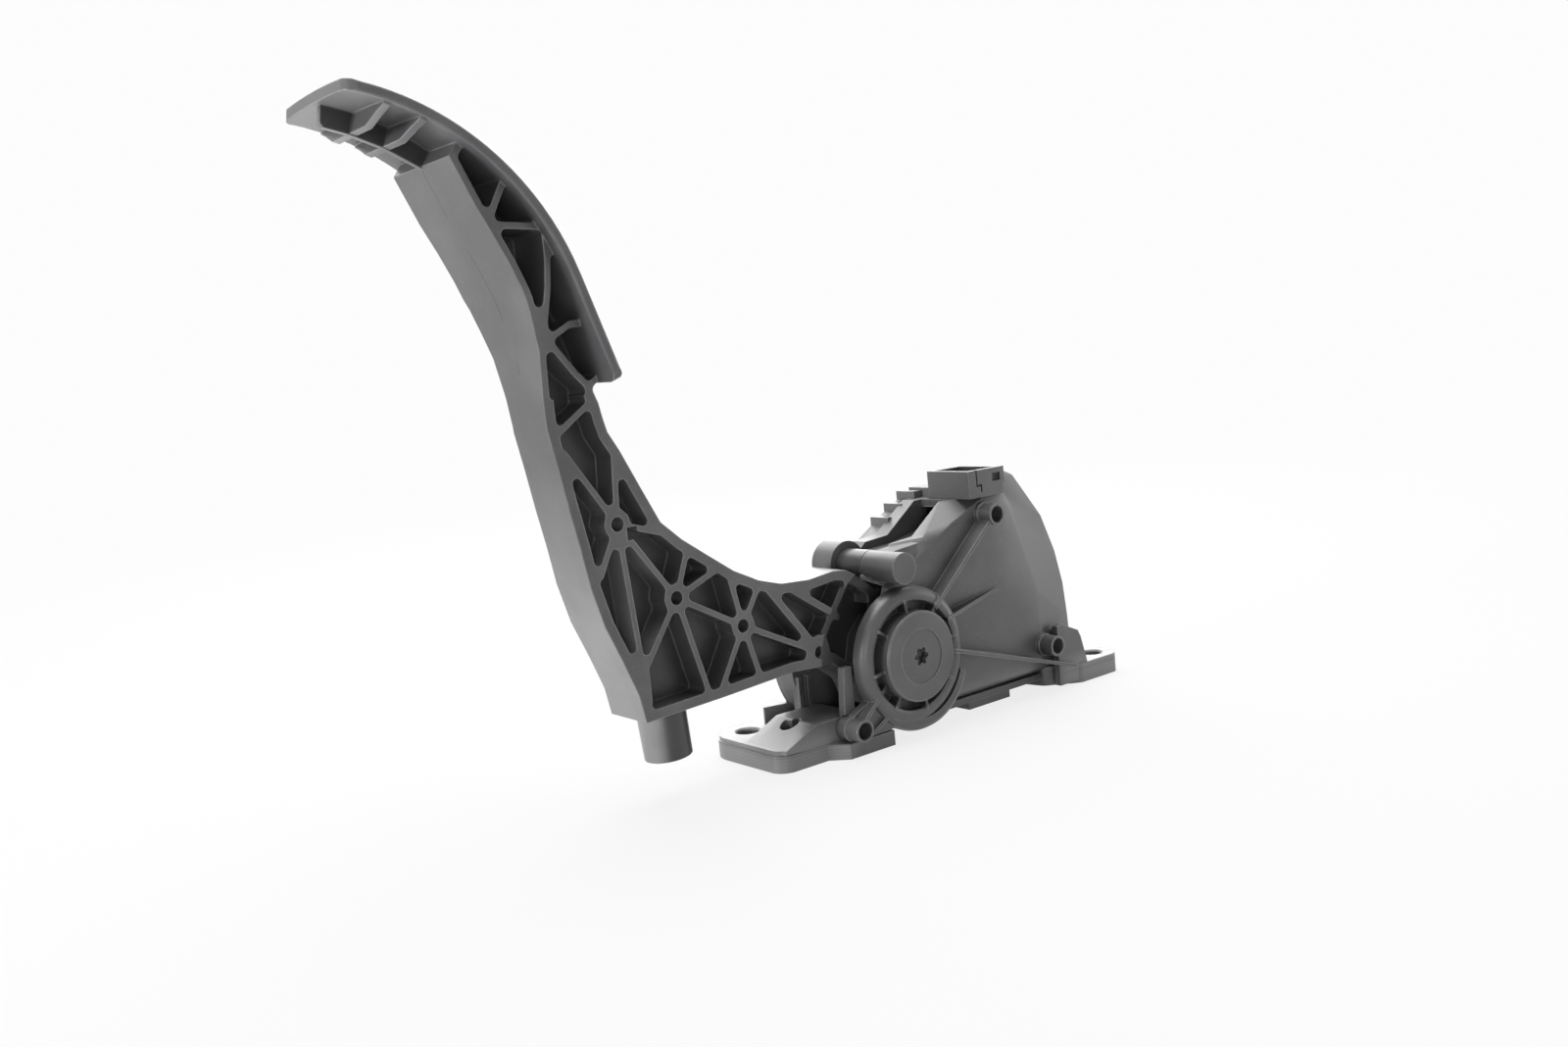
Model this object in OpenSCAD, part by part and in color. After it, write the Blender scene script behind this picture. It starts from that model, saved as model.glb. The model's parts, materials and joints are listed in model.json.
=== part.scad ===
// Accelerator pedal module for a car: a one-piece ribbed arm with its foot pad and
// heel peg, hinged in a moulded housing that holds the springs, the friction lever
// and the position sensor. Shown released, standing on its two mounting feet.
// X runs along the arm towards the driver, Y across it, Z up from the mounting face.
// The origin is the centre of the front bolt hole on the mounting face.

/* [Pivot] */
// Distance of the pivot axis behind the front bolt hole
pivot_x = 38.5; // [30:0.5:50]
// Height of the pivot axis over the mounting face
pivot_z = 25.5; // [23:0.5:30]
// Distance from the front bolt hole to the near face of the hub disc
hub_face_y = -38; // [-44:0.5:-34]
// Radius of the steel pivot shaft
shaft_r = 5; // [4:0.1:6]
// Running clearance on the radius of the shaft
run_gap = 0.05; // [0.02:0.01:0.1]

/* [Arm] */
// Width of the lower arm across its flanges
arm_w = 17.5; // [14:0.5:20]
// Width of the arm behind the foot pad
arm_top_w = 31; // [24:0.5:36]
// Distance of the arm's middle plane from the hub disc's near face
arm_mid_y = 19.75; // [19:0.25:21]
// Thickness of the flange round the arm's edge
flange_t = 2.8; // [2:0.1:4]
// Thickness of the flange behind the foot pad
top_flange_t = 1.8; // [1.4:0.1:3]
// Thickness of the stiffening ribs
rib_t = 1.6; // [1:0.1:2.6]
// Thickness of the web in the arm's middle plane
web_t = 2.4; // [1.6:0.1:4]
// Fillet in the corners of the pockets
pocket_fillet = 1.3; // [0.4:0.1:2]
// Outer radius of the moulded bosses
boss_r = 3.9; // [3:0.1:5]
// Radius of the holes in the bosses
boss_hole_r = 1.9; // [1:0.1:2.4]
// Radius of the friction drum on the hub
drum_r = 20.5; // [18:0.5:21]
// Diameter of the heel peg
peg_d = 13.3; // [10:0.1:16]
// Length of the heel peg below the arm
peg_l = 14.6; // [8:0.1:15]
// Lean of the heel peg towards the housing, in degrees
peg_lean = 4.5; // [0:0.5:8]

/* [Foot pad] */
// Width of the foot pad
pad_w = 40; // [36:0.5:56]
// Thickness of the pad's skin
pad_t = 2.6; // [2:0.1:4]
// Radius of the pad's curved front
pad_r = 66.8; // [60:0.2:72]
// Length of the straight lower part of the pad
pad_straight = 27.5; // [20:0.5:32]
// Height of the crown across the pad
pad_crown = 0.8; // [0.4:0.1:2]
// Radius of the pad's corners
pad_corner_r = 3.6; // [1:0.2:6]
// Thickness of the ribs under the pad
pad_rib_t = 1.7; // [1.2:0.1:3]

/* [Side cover] */
// Depth from the hub disc to the parting line of the cover and housing
part_y = 15; // [14:0.5:16]
// Depth from the hub disc to the flat front of the cover
front_y = 7; // [6:0.5:8]
// Wall thickness of the mouldings
wall = 2.4; // [1.8:0.1:3]
// Radius of the hub disc
hub_r = 13.6; // [12:0.1:14]
// Outer radius of the groove round the hub disc
groove_r = 16.5; // [15:0.1:17.5]
// Number of webs across the groove
groove_webs = 8; // [4:1:12]
// Outer radius of the ring boss round the hub
ring_r = 20.6; // [19:0.1:22]
// Thickness of the ribs on the cover
cover_rib_t = 1.2; // [0.8:0.1:2]
// Outer radius of the screw tubes
tube_r = 3.3; // [2.8:0.1:4]
// Bore radius of the screw tubes
tube_bore_r = 2.6; // [2:0.1:3]

/* [Mounting feet] */
// Thickness of the mounting feet
foot_t = 6.4; // [5:0.1:8]
// Radius of the bolt holes
bolt_r = 3.5; // [3:0.1:4.5]
// Distance between the bolt holes along the arm
bolt_pitch_x = 129.5; // [124:0.5:134]
// Sideways offset between the bolt holes
bolt_pitch_y = 26; // [20:0.5:30]
// Height of the block that the front ramp rises to
ramp_top = 11.6; // [9:0.1:12]

/* [Springs and friction lever] */
// Coil diameter of the outer return spring
outer_coil_d = 16; // [13:0.5:18]
// Wire diameter of the outer return spring
outer_wire_d = 1.7; // [1.2:0.1:2]
// Coil diameter of the inner return spring
inner_coil_d = 9.6; // [8:0.2:11]
// Wire diameter of the inner return spring
inner_wire_d = 1.2; // [0.8:0.1:1.5]
// Radius of the friction lever's pin
pin_r = 2.5; // [2:0.1:3]
// Radius of the friction lever's hub and of the tube round its pin
lever_hub_r = 4.7; // [4.2:0.1:5.2]

/* [Connector] */
// Length of the connector block along the arm
plug_l = 15; // [13:0.5:17]
// Width of the connector block across the arm
plug_w = 18; // [15:0.5:20]
// Height of the connector block
plug_h = 8.6; // [8:0.1:11]
// Number of contact pins
pin_count = 6; // [4:2:6]

/* [Display] */
// Number of flats drawn round the springs' wire
wire_sides = 7; // [6:1:12]
// Number of steps drawn in each turn of the springs
coil_steps = 16; // [12:1:24]

/* [Hidden] */
$fn = 48;
seat = 0.02;            // gap between pieces fixed together
gap = 0.35;             // gap between pieces that move past each other
arm_near_y = arm_mid_y - arm_w / 2;
arm_far_y = arm_mid_y + arm_w / 2;
chamber_far_y = arm_far_y + 1;
far_wall_y = chamber_far_y + 1.8;
pot_y = far_wall_y + 5.1;
lid_t = 1.8;
board_t = 1.2;
rail_y = pot_y - 3.4;
channel_far_y = part_y + 11;

// Arm outline as seen from the near side, in X and Z from the pivot axis
arm_back = [
    [-90, -0.2], [-91.4, 7.3], [-94.6, 15.8], [-99.3, 27.1], [-102.2, 37.8],
    [-103.9, 48.1], [-105.9, 58.4], [-107.6, 68.4], [-109.5, 78.4], [-110.2, 88.1],
    [-111.1, 97.6], [-112.9, 104.7], [-114.6, 110.4], [-117.7, 117.8], [-121.1, 124.7],
    [-125.1, 132.1], [-130.4, 143.6], [-127.9, 147.1]];
arm_front = [
    [-96.2, 88], [-94.4, 84], [-92.4, 76.5], [-89.4, 71.4], [-84.4, 61.4], [-79.3, 51.4],
    [-73.3, 46], [-65.3, 40.3], [-57.3, 34.7], [-49.2, 30.7], [-41.2, 28.3],
    [-31.2, 27.7], [-22, 28.6], [-17.3, 28.1], [-10.7, 24.6], [-5.3, 20.4]];
arm_bottom = [[-13, -7], [-24, 1.6], [-40, 2.6], [-65, 1]];
boss_a = [-76.7, 30.7];
boss_b = [-55.9, 19.1];
boss_c = [-29.6, 6.2];
boss_d = [-92.4, 52.8];
top_node = [-108.8, 100.6];
hub_low_r = 17.4;
hub_core_r = 14;
flare_at = [2.6, -2.4];

// Foot pad: centre of its front curve, and the angles where the curve starts and ends
pad_c = [-163.8, 93.8];
pad_rib_depth = 7.4;
pad_a0 = 19.4;
pad_a1 = 81.6;
pad_tail = [sin(pad_a0), -cos(pad_a0)];
function on_pad(a, r) = pad_c + r * [cos(a), sin(a)];

// Heel peg
peg_x = -80;
peg_top_z = 1.5;

plug_seat_z = 42.2;

// Cover outline at its flat front and at the parting line, X and Z from the pivot axis
front_outline = [
    [-4, 20], [8.5, 26.7], [15.4, 31.3], [24, 35.8], [34.4, 39.5], [40.7, 42.2],
    [45, 44.4], [48.5, 43.2], [52.2, 36.4], [57, 22.3], [61.8, 7.9], [62.7, -6],
    [62.4, -16.5], [40, -17.5], [6, -19], [-16, -12]];
low_z = -20.6;
part_outline = [
    [-8.5, 24.6], [-1.3, 27.7], [4.6, 32.3], [13.9, 33], [26.5, 42], [30, plug_seat_z],
    [47.2, plug_seat_z], [48.2, 47.6], [51, 48.8], [55.5, 48.6], [60.3, 46.7], [66.8, 38.6], [72.6, 31.6], [78.3, 18.8],
    [81.4, 7.1], [82.6, -4], [83.2, -14], [80, low_z], [-8.5, low_z]];
screw_low = [-23.8, -17.2];
screw_right = [61.4, -9.7];
screw_top = [37.5, 36.9];
lever_pin_at = [-3.3, 26.8];

// Springs stand on the arm's tail and push up against the friction lever
spring_x = 42;
spring_low_z = 7.2;
spring_high_z = 28.4;

// Everything is drawn from the pivot axis and the hub disc's near face
module placed() { translate([pivot_x, hub_face_y, pivot_z]) children(); }

// Solid between two depths from an outline in X and Z
module slab(y0, y1) {
    translate([0, y1, 0]) rotate([90, 0, 0]) linear_extrude(y1 - y0) children();
}

// Cylinder along Y
module rod(at, y0, y1, r) {
    translate([at[0], y1, at[1]]) rotate([90, 0, 0]) cylinder(h = y1 - y0, r = r);
}

// Bar with round ends between two points, in the outline plane
module bar(p, q, t) {
    dir = atan2(q[1] - p[1], q[0] - p[0]);
    turn = [-90 : 30 : 90];
    polygon(concat(
        [for (a = turn) q + t / 2 * [cos(dir + a), sin(dir + a)]],
        [for (a = turn) p - t / 2 * [cos(dir + a), sin(dir + a)]]));
}

// Bars through a row of points
module bars(points, t) {
    for (i = [0 : len(points) - 2]) bar(points[i], points[i + 1], t);
}

module arm_outline(under = pad_r - pad_t / 2) {
    curve = [for (a = [54 : -4 : 22]) on_pad(a, under)];
    end = on_pad(pad_a0, under) + (pad_straight - 1) * pad_tail;
    drum = [for (a = [105 : -10 : 15]) drum_r * [cos(a), sin(a)]];
    hub = [for (a = [10 : -15 : -125]) hub_low_r * [cos(a), sin(a)]];
    polygon(concat(arm_back, curve, [on_pad(pad_a0, under), end], arm_front, drum, hub,
        arm_bottom));
}

// Flange, ribs and bosses that stand out from the web
module arm_lattice() {
    difference() {
        arm_outline();
        offset(delta = -flange_t) arm_outline(pad_r + flange_t - pad_t + 0.5);
        // The flange is thinner where the arm widens behind the pad
        intersection() {
            offset(delta = -top_flange_t) arm_outline(pad_r + top_flange_t - pad_t + 0.5);
            translate([-160, 86]) square([80, 80]);
        }
    }
    intersection() {
        arm_outline();
        union() {
            circle(r = hub_core_r);
            intersection() {
                circle(r = drum_r);
                polygon([[0, 0], [40, 0], [40, 40], [-9, 40]]);
            }
            for (p = [boss_a, boss_b, boss_c, boss_d]) translate(p) circle(r = boss_r);
            translate(boss_c) circle(r = boss_r + 1.2);
            bars([[-91.4, 69.4], boss_d, [-78.3, 48.4], [-71.3, 44.3]], rib_t);
            bars([[-105.4, 72.4], boss_d, [-98.9, 40.3]], rib_t);
            bars([boss_d, [-89.4, 14.2]], rib_t);
            bars([boss_d, boss_a, boss_b, boss_c], rib_t);
            bars([[-71.3, 44.3], boss_a, [-62.3, 36.3]], rib_t);
            bars([[-88.4, 5], [-88.4, 14.2], boss_a, [-69.3, 3.2]], rib_t);
            bars([[-59.3, 35], boss_b, [-48.2, 31]], rib_t);
            bars([[-65.3, 3], boss_b, [-51.3, 3]], rib_t);
            bars([[-47.2, 29], boss_c, [-15.1, 26]], rib_t + 0.5);
            bars([[-39.2, 27], [-20.7, 14.7]], rib_t + 0.4);
            bars([[-108.2, 76.5], [-96.7, 84.5]], rib_t);
            bars([[-110.5, 101.3], top_node, [-102.7, 104], [-98, 104.2]], rib_t);
            bars([top_node, [-101, 92], [-95, 86.6]], rib_t);
            bars([top_node, [-109.6, 105], [-107.9, 120], [-107.9, 127.4], [-122, 128]], rib_t);
            bars([[-122.4, 128.4], [-120.1, 133], [-117, 138.6]], rib_t);
            translate(top_node) circle(r = 2.1);
        }
    }
}

// Half-width of the arm over its height: it flares from the arm to the pad
module width_profile(extra = 0) {
    low = arm_w / 2 - extra;
    high = arm_top_w / 2 - extra;
    rotate([90, 0, 90]) translate([0, 0, -200]) linear_extrude(300)
        polygon([
            [arm_mid_y - low, -40], [arm_mid_y + low, -40],
            [arm_mid_y + low, 80], [arm_mid_y + low + 0.8, 87],
            [arm_mid_y + high - 1.2, 107], [arm_mid_y + high, 113],
            [arm_mid_y + high, 190], [arm_mid_y - high, 190],
            [arm_mid_y - high, 113], [arm_mid_y - high + 1.2, 107],
            [arm_mid_y - low - 0.8, 87], [arm_mid_y - low, 80]]);
}

// Cross-section of the pad's skin: radius from the curve's centre against depth
module pad_section() {
    half = pad_w / 2;
    n = 5;
    crown = [for (i = [-n : n]) [pad_r - pad_crown * pow(i / n, 2), half * i / n]];
    back = [for (i = [n : -1 : -n])
        [pad_r - pad_t - pad_crown * pow(i / n, 2), half * i / n]];
    offset(r = 0.8, $fn = 12) offset(delta = -0.8) polygon(concat(crown, back));
}

module foot_pad() {
    translate([pad_c[0], arm_mid_y, pad_c[1]]) difference() {
        union() {
            rotate([90, 0, 0]) rotate([0, 0, pad_a0])
                rotate_extrude(angle = pad_a1 - pad_a0, $fn = 108) pad_section();
            rotate([0, -pad_a0, 0]) translate([0, 0, -pad_straight])
                linear_extrude(pad_straight + 0.01) pad_section();
        }
        for (side = [-1, 1]) {
            rotate([0, -pad_a1, 0]) pad_corner(side);
            rotate([0, -pad_a0, 0]) translate([0, 0, -pad_straight]) mirror([0, 0, 1])
                pad_corner(side);
        }
    }
    // Two cross ribs, lowest in the middle and rising to the edges
    for (a = [73.5, 65.7]) pad_rib(a, pad_rib_depth, pad_rib_t);
    // Centre rib from the open tip to the top of the arm
    slab(arm_mid_y - pad_rib_t / 2, arm_mid_y + pad_rib_t / 2)
        polygon([[-152.9, 158], [-153.6, 153], [-152.9, 152], [-147.2, 150.6], [-139.2, 147.7],
            [-130.2, 143], [-126, 149], [-137, 153.8], [-145, 156.4]]);
}

// What is cut away outside a rounded corner of the pad, whose end is at height 0
module pad_corner(side) {
    at = pad_w / 2 - pad_corner_r;
    rotate([90, 0, 90]) translate([0, 0, pad_r - 8]) linear_extrude(12)
        scale([side, 1]) difference() {
            translate([at, -pad_corner_r]) square(pad_corner_r + 1);
            translate([at, -pad_corner_r]) circle(r = pad_corner_r);
        }
}

// Rib across the pad at an angle of its curve, with a depth from the pad's face
module pad_rib(a, depth, t) {
    half = pad_w / 2 - 1.2;
    translate([pad_c[0], arm_mid_y, pad_c[1]]) rotate([0, -a, 0])
        translate([0, 0, -t]) linear_extrude(t)
            polygon([[pad_r - 1.6, -half], [pad_r - 3.9, -half], [pad_r - 5.2, -half * 0.8],
                [pad_r - depth, -half * 0.52], [pad_r - depth, half * 0.52],
                [pad_r - 5.2, half * 0.8], [pad_r - 3.9, half], [pad_r - 1.6, half]]);
}

// One moulding: arm, foot pad, heel peg, hub, and the tail that loads the springs
module pedal_arm() {
    color([0.17, 0.17, 0.18]) placed() difference() {
        union() {
            difference() {
                intersection() {
                    slab(arm_mid_y - pad_w, arm_mid_y + pad_w)
                        offset(r = -pocket_fillet, $fn = 12)
                            offset(delta = pocket_fillet) arm_lattice();
                    width_profile();
                }
                // The hub's flanks stay inside the width of the lower arm
                rod([0, 0], arm_near_y - 1, arm_near_y + 1.6, drum_r + 9);
                rod([0, 0], arm_far_y - 1.6, arm_far_y + 1, drum_r + 9);
            }
            rod([0, 0], arm_near_y, arm_far_y, shaft_r + 5);
            slab(arm_mid_y - web_t / 2, arm_mid_y + web_t / 2) arm_outline();
            foot_pad();
            heel_peg();
            arm_tail();
        }
        for (p = [boss_a, boss_b, boss_c, boss_d]) rod(p, -10, 50, boss_hole_r);
        // The boss nearest the pad is open towards the housing
        translate(v = [boss_d[0] + 2.6, -10, boss_d[1] - 4.6])
            cube([3.2, 60, 3.4]);
        rod([0, 0], 0, 60, shaft_r + seat);
        // Core in the peg's end
        translate([peg_x, arm_mid_y, peg_top_z]) rotate([0, 180 - peg_lean, 0])
            translate([0, 0, peg_l - 9]) cylinder(h = 10, r = peg_d / 2 - 2.6);
    }
}

module heel_peg() {
    translate([peg_x, arm_mid_y, peg_top_z]) rotate([0, 180 - peg_lean, 0])
        cylinder(h = peg_l, r1 = peg_d / 2 + 0.2, r2 = peg_d / 2);
}

// Tail behind the hub, with the round seat of the springs
module arm_tail() {
    half = 5.2;
    slab(arm_mid_y - half, arm_mid_y + half)
        polygon([[8, 9], [28, 5.4], [34, spring_low_z - 4], [spring_x + 9, spring_low_z - 4],
            [spring_x + 10, -4.4], [30, -9], [8, -11]]);
    translate([spring_x, arm_mid_y, spring_low_z - 5]) cylinder(h = 4.3, r = half + 0.6);
}

// Steel shaft pressed in the arm, with a groove for its retaining ring
module pivot_shaft() {
    color([0.62, 0.63, 0.65]) placed() difference() {
        union() {
            rod([0, 0], 3.4, rotor_y + 1.3, shaft_r);
            rod([0, 0], 2.6, 3.4, shaft_r - 0.8);
        }
        rod([0, 0], 2, 6, 1.6);
        difference() {
            rod([0, 0], ring_y - 0.45, ring_y + 0.45, shaft_r + 1);
            rod([0, 0], ring_y - 0.5, ring_y + 0.5, shaft_r - 0.7);
        }
    }
}
ring_y = far_wall_y + 0.9;

// Plastic plug in the cover's hub that carries the near end of the shaft
plug_r = 8.2;
module near_bearing() {
    color([0.2, 0.2, 0.21]) placed() difference() {
        union() {
            rod([0, 0], 0.25, cover_back_y + 0.8, plug_r - seat);
            rod([0, 0], cover_back_y + seat, cover_back_y + 0.8, plug_r + 2);
        }
        rod([0, 0], 2, 12, shaft_r + run_gap);
        rod([0, 0], -1, 3, 2.1);
        for (a = [0 : 60 : 300])
            rod(2.1 * [cos(a), sin(a)], -1, 3, 0.75);
    }
}

// Flanged plastic bush in the far wall
module far_bearing() {
    color([0.86, 0.84, 0.78]) placed() difference() {
        union() {
            rod([0, 0], chamber_far_y - 0.6, chamber_far_y - seat, shaft_r + 4);
            rod([0, 0], chamber_far_y - 0.6, far_wall_y + 0.1, shaft_r + 2);
        }
        rod([0, 0], 20, 60, shaft_r + run_gap);
    }
}

// Two thin steel washers beside the arm's hub
module thrust_washers() {
    color([0.55, 0.56, 0.58]) placed() difference() {
        union() {
            rod([0, 0], arm_near_y - 0.35, arm_near_y - seat, shaft_r + 3.6);
            rod([0, 0], arm_far_y + seat, arm_far_y + 0.3, shaft_r + 3.6);
        }
        rod([0, 0], 0, 60, shaft_r + seat);
    }
}

// Split spring-steel ring on the far end of the shaft
module retaining_ring() {
    color([0.5, 0.5, 0.52]) placed() difference() {
        rod([0, 0], ring_y - 0.4, ring_y + 0.4, shaft_r + 1.6);
        rod([0, 0], ring_y - 1, ring_y + 1, shaft_r - 0.68);
        translate([-8, ring_y - 1, -2]) cube([8, 2, 4]);
    }
}

// Height of the wire's centre at step i of n: the end turns lie close together
function coil_z(wire, i, n, h) = let (close = 0.95 * wire, rise = h - wire - 2 * close)
    wire / 2 + (i < coil_steps ? close * i / coil_steps
        : i > n - coil_steps ? close + rise + close * (i - n + coil_steps) / coil_steps
        : close + rise * (i - coil_steps) / (n - 2 * coil_steps));

// Coil of round wire round a vertical axis
module coil(d, wire, turns, h) {
    n = turns * coil_steps;
    m = wire_sides;
    points = [for (i = [0 : n]) for (j = [0 : m - 1])
        let (r = (d - wire) / 2 + wire / 2 * cos(j * 360 / m))
        [r * cos(i * 360 / coil_steps), r * sin(i * 360 / coil_steps),
            coil_z(wire, i, n, h) + wire / 2 * sin(j * 360 / m)]];
    side = [for (i = [0 : n - 1]) for (j = [0 : m - 1]) for (half = [0, 1])
        let (k = (j + 1) % m)
        half == 0 ? [i * m + j, (i + 1) * m + j, (i + 1) * m + k]
            : [i * m + j, (i + 1) * m + k, i * m + k]];
    polyhedron(points, concat(side, [[for (j = [0 : m - 1]) j],
        [for (j = [m - 1 : -1 : 0]) n * m + j]]));
}

spring_h = spring_high_z - spring_low_z;

module outer_spring() {
    color([0.58, 0.59, 0.61]) placed() translate([spring_x, arm_mid_y, spring_low_z])
        coil(outer_coil_d, outer_wire_d, 6, spring_h);
}

module inner_spring() {
    color([0.62, 0.63, 0.65]) placed() translate([spring_x, arm_mid_y, spring_low_z])
        coil(inner_coil_d, inner_wire_d, 7, spring_h);
}

// Plan outline of a mounting foot: round corners, drawn in X and Y from the pivot
module foot_plan(x0, x1, y0, y1, r) {
    offset(r = r) offset(delta = -r) polygon([[x0, y0], [x1, y0], [x1, y1], [x0, y1]]);
}

// Foot plan whose far left corner is cut to a wider radius
module front_foot_plan(x0, x1, y0, y1, r, far_r) {
    difference() {
        foot_plan(x0, x1, y0, y1, r);
        difference() {
            translate([x0 - 1, y1 - far_r]) square([far_r + 1, far_r + 1]);
            translate([x0 + far_r, y1 - far_r]) circle(r = far_r);
        }
    }
}

// Flat piece on the mounting face between two heights over it
module plate(z0, z1) {
    translate([0, 0, z0 - pivot_z]) linear_extrude(z1 - z0) children();
}

front_x = -pivot_x;
front_y_at = -hub_face_y;
rear_x = front_x + bolt_pitch_x;
rear_y_at = front_y_at - bolt_pitch_y;
block_x0 = -34.4;
ledge_z = 4.5;
base_near_y = 5;

// The two feet, the front one with its ramp, and the rails between them
module base() {
    // Front foot in two layers, the upper one set back by a fine step
    plate(0, foot_t - 1.3)
        front_foot_plan(front_x - 9.7, -9, 9.8, front_y_at + 9, 5, 10.5);
    plate(foot_t - 1.4, foot_t)
        front_foot_plan(front_x - 9.3, -9.4, 10.2, front_y_at + 8.6, 4.6, 10.1);
    // Ramp and the block behind it
    slab(9.8, front_y_at - 9.6) polygon([
        [front_x - 8, foot_t - 1 - pivot_z], [front_x - 7.6, foot_t - pivot_z],
        [block_x0, ramp_top - pivot_z], [-18.5, ramp_top - pivot_z],
        [-18.5, foot_t - 2 - pivot_z]]);
    plate(0, ledge_z) polygon([[-31, 9.8], [-26.4, base_near_y], [-9, base_near_y],
        [-9, chamber_far_y], [-31, chamber_far_y]]);
    // Wall on the far side of the front foot
    plate(0, ramp_top + 0.3) polygon([
        [front_x + 6.5, front_y_at], [-21, front_y_at - 3], [-6, front_y_at - 3],
        [-6, front_y_at + 8], [-23, front_y_at + 8]]);
    // Rear foot
    plate(0, foot_t) offset(r = 3) offset(delta = -3) polygon([
        [66, 12.5], [76.2, base_near_y - 0.6], [rear_x + 3, base_near_y - 0.6],
        [rear_x + 7.4, rear_y_at - 4], [rear_x + 7.4, rear_y_at + 5],
        [rear_x + 3.4, rear_y_at + 8.8], [74, 24], [64, 24]]);
    // Floor under the chamber, its centre rest and the far rail
    plate(2.4, ledge_z) polygon([[-10, 12.6], [66, 12.6], [76, 24], [76, rail_y], [-10, rail_y]]);
    plate(2.4, low_z + pivot_z + 1) polygon([
        [-10, part_y + seat], [70, part_y + seat], [76, 24], [76, far_wall_y], [-10, far_wall_y]]);
    plate(0, 3.5) polygon([[31, 13], [50, 13], [50, chamber_far_y], [31, chamber_far_y]]);
    plate(0, 3.5) polygon([[-10, chamber_far_y], [70, chamber_far_y], [70, rail_y], [-10, rail_y]]);
    // Gusset over the rear foot
    slab(base_near_y, base_near_y + 2.4) polygon([
        [66.2, -pivot_z + 1], [rear_x - 10.8, -pivot_z + 1], [rear_x - 10.8, foot_t - pivot_z],
        [rear_x - 13.3, -10.2], [rear_x - 14.6, -7.7], [rear_x - 18.7, -5.9],
        [rear_x - 22.3, -4.2], [66.2, -4.6]]);
    slab(base_near_y, part_y + 4) polygon([
        [72, -pivot_z + 1], [rear_x - 13.5, -pivot_z + 1], [rear_x - 15.8, -8], [72, -7]]);
}

// Outline of the sensor's compartment behind the far wall
module pot_outline() {
    intersection() {
        union() {
            circle(r = 26.4);
            polygon([[-14, 12], [-14, 22], [-6, 25.6], [6, 27.4], [24, 38.2],
                [31, plug_seat_z - 0.4], [47, plug_seat_z - 0.4], [47, -8], [20, -14]]);
        }
        translate([-40, 1.5 - pivot_z]) square([100, 80]);
    }
}

module shell_outline() { polygon(part_outline); }

// Way in for the arm, with room for its swing
module arm_window() {
    polygon([[-40, low_z + wall], [4, low_z + wall], [4, 21.3], [-5, 21.5], [-8.5, 23.5],
        [-40, 24.6]]);
}

// Chamber of the springs and the arm's hub: open to the left, where the arm enters
module chamber_outline() {
    difference() {
        union() {
            offset(delta = -wall) shell_outline();
            arm_window();
        }
        translate(screw_right) circle(r = tube_r + 0.4);
        translate(screw_top) circle(r = tube_r + 0.2);
    }
}

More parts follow.
